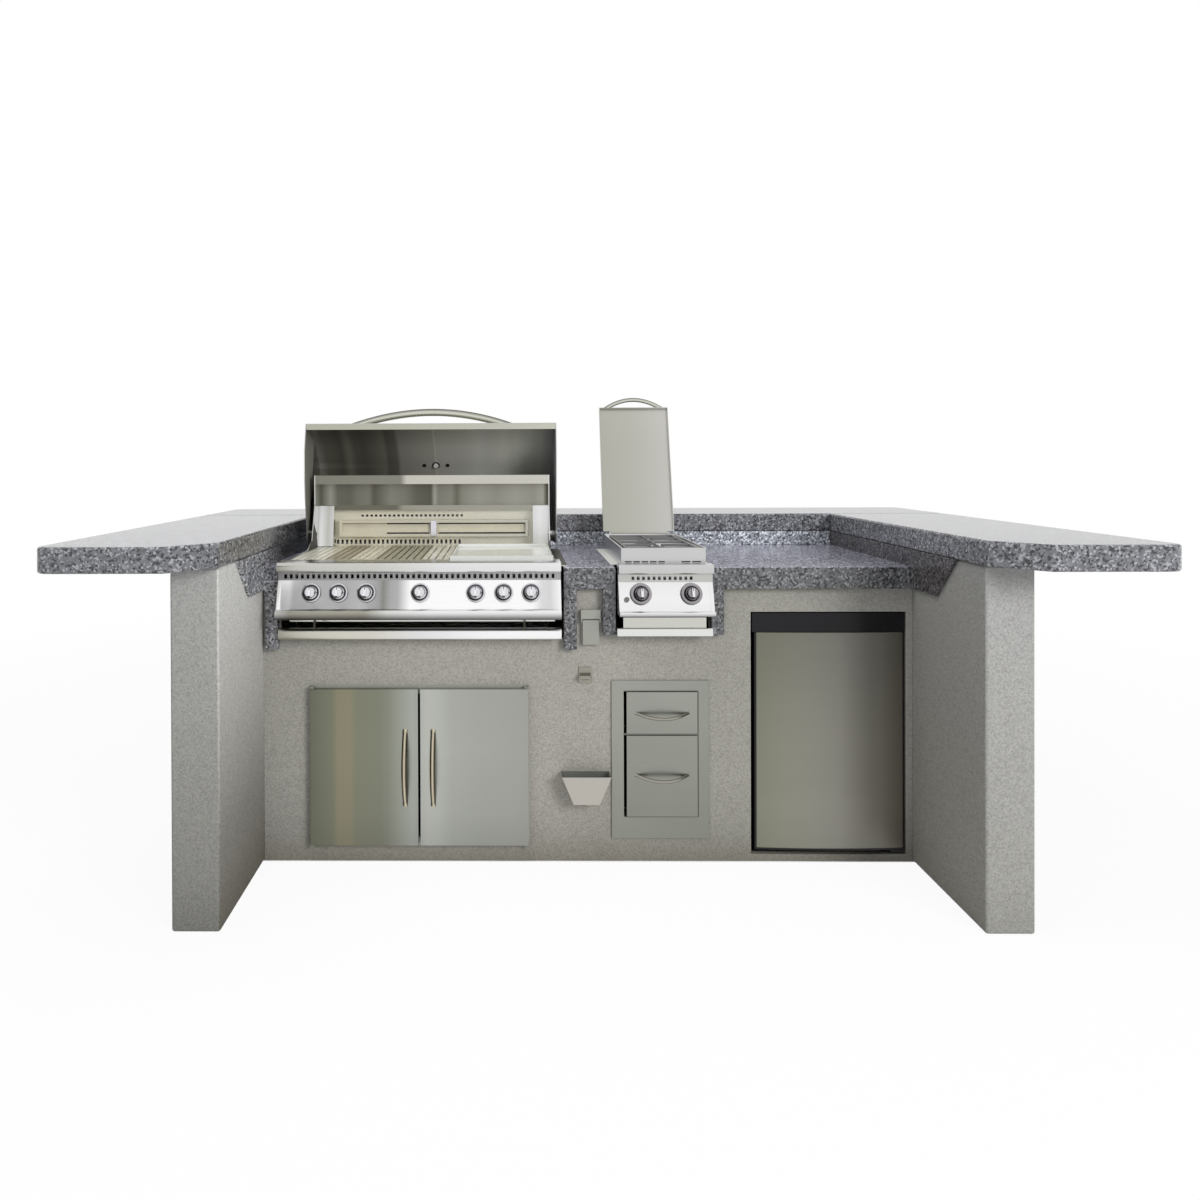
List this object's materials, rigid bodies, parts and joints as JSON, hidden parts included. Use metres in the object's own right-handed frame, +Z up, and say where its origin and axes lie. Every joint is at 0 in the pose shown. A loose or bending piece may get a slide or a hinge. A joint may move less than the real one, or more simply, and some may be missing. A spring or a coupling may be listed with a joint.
{
  "type": "outdoor kitchen island",
  "caption": "U-shaped outdoor kitchen island with stucco walls, a raised granite bar, a built-in grill and side burner with open lids, doors, drawers and a compact refrigerator.",
  "frame": {"origin": "middle of the bar top's outline, on the ground", "axes": "+X to the cook's right, +Y from the cook towards the guests behind the bar, +Z up"},
  "size_m": [3.3, 1.76, 1.7119],
  "materials": {
    "stucco": "matte",
    "granite": "polished",
    "brushed_stainless": "satin",
    "polished_stainless": "polished",
    "heated_steel": "matte",
    "galvanised_steel": "matte",
    "burner_iron": "matte",
    "burner_tile": "matte",
    "black_plastic": "satin",
    "fridge_metal": "satin",
    "knob_metal": "polished",
    "outlet_plastic": "satin"
  },
  "bodies": {
    "island": {"front_wall": "stucco", "back_wall": "stucco", "left_wing_wall": "stucco", "right_wing_wall": "stucco", "stud_frame": "galvanised_steel", "worktop": "granite", "riser": "granite", "left_splash": "granite", "right_splash": "granite", "left_bar_top": "granite", "right_bar_top": "granite", "back_bar_top": "granite", "grill_firebox": "brushed_stainless", "grill_control_panel": "brushed_stainless", "griddle": "brushed_stainless", "left_grate": "brushed_stainless", "right_grate": "brushed_stainless", "side_burner_box": "brushed_stainless", "side_burner_panel": "brushed_stainless", "door_frame": "brushed_stainless", "drawer_cabinet": "brushed_stainless", "cap_catcher": "brushed_stainless", "burner_manifold": "heated_steel", "flame_tamers": "heated_steel", "rear_burner": "burner_tile", "left_hood_pin": "polished_stainless", "right_hood_pin": "polished_stainless", "fridge_shelf": "polished_stainless", "bottle_opener": "polished_stainless", "side_burner_heads": "burner_iron", "side_burner_grate": "burner_iron", "fridge_cabinet": "black_plastic", "outlet_box": "outlet_plastic"},
    "hood": {"grill_hood": "brushed_stainless", "hood_handle": "polished_stainless", "hood_thermometer": "polished_stainless"},
    "side_burner_lid": {"side_burner_lid": "brushed_stainless", "lid_handle": "polished_stainless"},
    "left_door": {"left_door": "brushed_stainless", "left_door_handle": "polished_stainless"},
    "right_door": {"right_door": "brushed_stainless", "right_door_handle": "polished_stainless"},
    "upper_drawer": {"upper_drawer": "brushed_stainless", "upper_drawer_handle": "polished_stainless"},
    "lower_drawer": {"lower_drawer": "brushed_stainless", "lower_drawer_handle": "polished_stainless"},
    "fridge_door": {"fridge_door": "fridge_metal"},
    "grill_drip_tray": {"grill_drip_tray": "brushed_stainless"},
    "side_burner_tray": {"side_burner_tray": "brushed_stainless"},
    "igniter_button": {"igniter_button": "black_plastic"},
    "outlet_flap": {"outlet_flap": "outlet_plastic"},
    "grill_knob_1": {"grill_knob_1": "knob_metal"},
    "grill_knob_2": {"grill_knob_2": "knob_metal"},
    "grill_knob_3": {"grill_knob_3": "knob_metal"},
    "grill_knob_4": {"grill_knob_4": "knob_metal"},
    "grill_knob_5": {"grill_knob_5": "knob_metal"},
    "grill_knob_6": {"grill_knob_6": "knob_metal"},
    "grill_knob_7": {"grill_knob_7": "knob_metal"},
    "side_burner_knob_1": {"side_burner_knob_1": "knob_metal"},
    "side_burner_knob_2": {"side_burner_knob_2": "knob_metal"}
  },
  "joints": [
    {"name": "hood_hinge", "type": "hinge", "parent": "island", "child": "hood", "pos_m": [-0.593, 0.135, 1.14], "axis": [1, 0, 0], "range_deg": [0, 90]},
    {"name": "side_burner_lid_hinge", "type": "hinge", "parent": "island", "child": "side_burner_lid", "pos_m": [0.271, 0.247, 1.128], "axis": [1, 0, 0], "range_deg": [0, 105]},
    {"name": "left_door_hinge", "type": "hinge", "parent": "island", "child": "left_door", "pos_m": [-0.984, -0.295, 0.345], "axis": [0, 0, -1], "range_deg": [0, 110]},
    {"name": "right_door_hinge", "type": "hinge", "parent": "island", "child": "right_door", "pos_m": [-0.216, -0.295, 0.345], "axis": [0, 0, 1], "range_deg": [0, 110]},
    {"name": "upper_drawer_slide", "type": "slide", "parent": "island", "child": "upper_drawer", "axis": [0, -1, 0], "range_m": [0, 0.4]},
    {"name": "lower_drawer_slide", "type": "slide", "parent": "island", "child": "lower_drawer", "axis": [0, -1, 0], "range_m": [0, 0.4]},
    {"name": "fridge_door_hinge", "type": "hinge", "parent": "island", "child": "fridge_door", "pos_m": [1.124, -0.271, 0.431], "axis": [0, 0, 1], "range_deg": [0, 90]},
    {"name": "grill_drip_tray_slide", "type": "slide", "parent": "island", "child": "grill_drip_tray", "axis": [0, -1, 0], "range_m": [0, 0.4]},
    {"name": "side_burner_tray_slide", "type": "slide", "parent": "island", "child": "side_burner_tray", "axis": [0, -1, 0], "range_m": [0, 0.4]},
    {"name": "igniter_button_press", "type": "slide", "parent": "island", "child": "igniter_button", "axis": [0, 0.9634, -0.2682], "range_m": [0, 0.003], "stiffness_N_per_m": 600},
    {"name": "outlet_flap_hinge", "type": "hinge", "parent": "island", "child": "outlet_flap", "pos_m": [0.014, -0.2898, 0.864], "axis": [-1, 0, 0], "range_deg": [0, 95]},
    {"name": "grill_knob_1_turn", "type": "hinge", "parent": "island", "child": "grill_knob_1", "pos_m": [-0.97, -0.3568, 0.9775], "axis": [0, -0.9634, 0.2682], "range_deg": [0, 250]},
    {"name": "grill_knob_2_turn", "type": "hinge", "parent": "island", "child": "grill_knob_2", "pos_m": [-0.875, -0.3568, 0.9775], "axis": [0, -0.9634, 0.2682], "range_deg": [0, 250]},
    {"name": "grill_knob_3_turn", "type": "hinge", "parent": "island", "child": "grill_knob_3", "pos_m": [-0.777, -0.3568, 0.9775], "axis": [0, -0.9634, 0.2682], "range_deg": [0, 250]},
    {"name": "grill_knob_4_turn", "type": "hinge", "parent": "island", "child": "grill_knob_4", "pos_m": [-0.588, -0.3568, 0.9775], "axis": [0, -0.9634, 0.2682], "range_deg": [0, 250]},
    {"name": "grill_knob_5_turn", "type": "hinge", "parent": "island", "child": "grill_knob_5", "pos_m": [-0.394, -0.3568, 0.9775], "axis": [0, -0.9634, 0.2682], "range_deg": [0, 250]},
    {"name": "grill_knob_6_turn", "type": "hinge", "parent": "island", "child": "grill_knob_6", "pos_m": [-0.296, -0.3568, 0.9775], "axis": [0, -0.9634, 0.2682], "range_deg": [0, 250]},
    {"name": "grill_knob_7_turn", "type": "hinge", "parent": "island", "child": "grill_knob_7", "pos_m": [-0.2, -0.3568, 0.9775], "axis": [0, -0.9634, 0.2682], "range_deg": [0, 250]},
    {"name": "side_burner_knob_1_turn", "type": "hinge", "parent": "island", "child": "side_burner_knob_1", "pos_m": [0.183, -0.356, 0.9715], "axis": [0, -0.9634, 0.2682], "range_deg": [0, 250]},
    {"name": "side_burner_knob_2_turn", "type": "hinge", "parent": "island", "child": "side_burner_knob_2", "pos_m": [0.359, -0.356, 0.9715], "axis": [0, -0.9634, 0.2682], "range_deg": [0, 250]}
  ]
}
